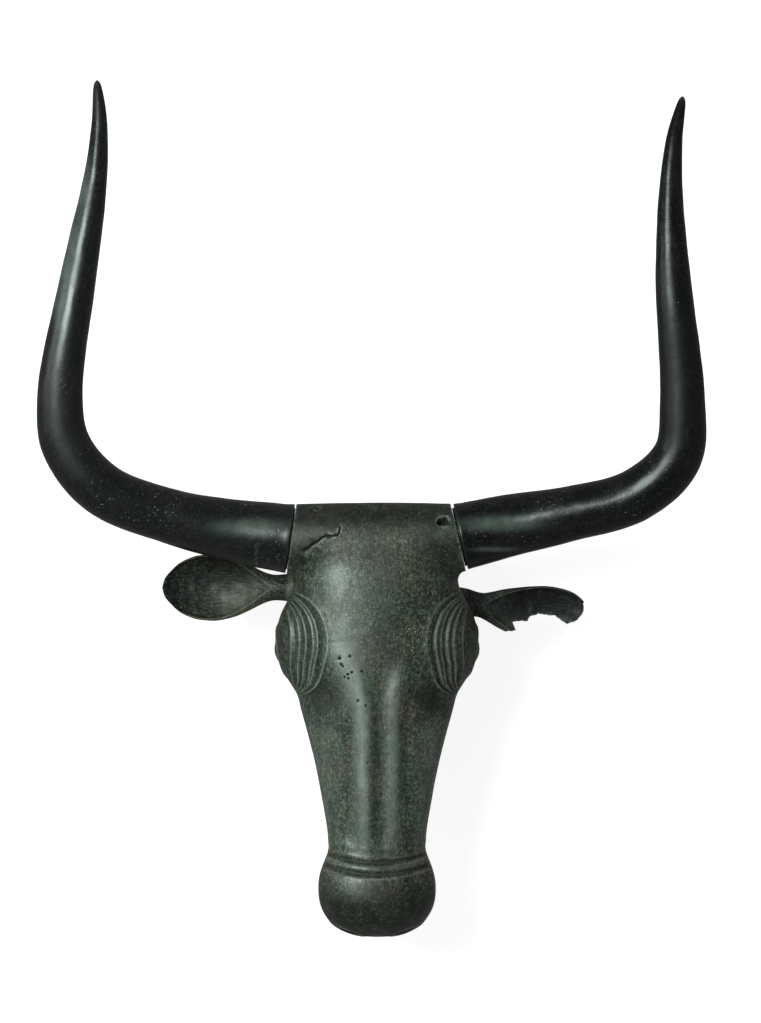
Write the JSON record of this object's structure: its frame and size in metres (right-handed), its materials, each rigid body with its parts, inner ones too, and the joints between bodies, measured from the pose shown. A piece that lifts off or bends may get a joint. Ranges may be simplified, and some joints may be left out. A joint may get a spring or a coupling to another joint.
{
  "type": "bull head sculpture",
  "caption": "Life-size bull's head in hollow cast bronze with long upright horns and leaf-shaped ears, cut flat at the neck; lies face up.",
  "frame": {"origin": "middle of the flat neck cut, on the midline of the head", "axes": "+Z out of the face, +Y from the muzzle towards the horn tips, +X to the viewer's right; the head lies face up"},
  "size_m": [0.7027, 0.9014, 0.2166],
  "materials": {
    "head_bronze": "cast bronze with a mottled dark green-brown patina, streaked and pitted",
    "horn_bronze": "cast bronze with a smooth, near-black, glossy patina",
    "ear_bronze": "cast bronze with a dark green-brown patina and chased hair lines"
  },
  "bodies": {
    "root": {"head": "head_bronze", "left_horn": "horn_bronze", "right_horn": "horn_bronze", "left_ear": "ear_bronze", "right_ear": "ear_bronze"}
  },
  "joints": []
}
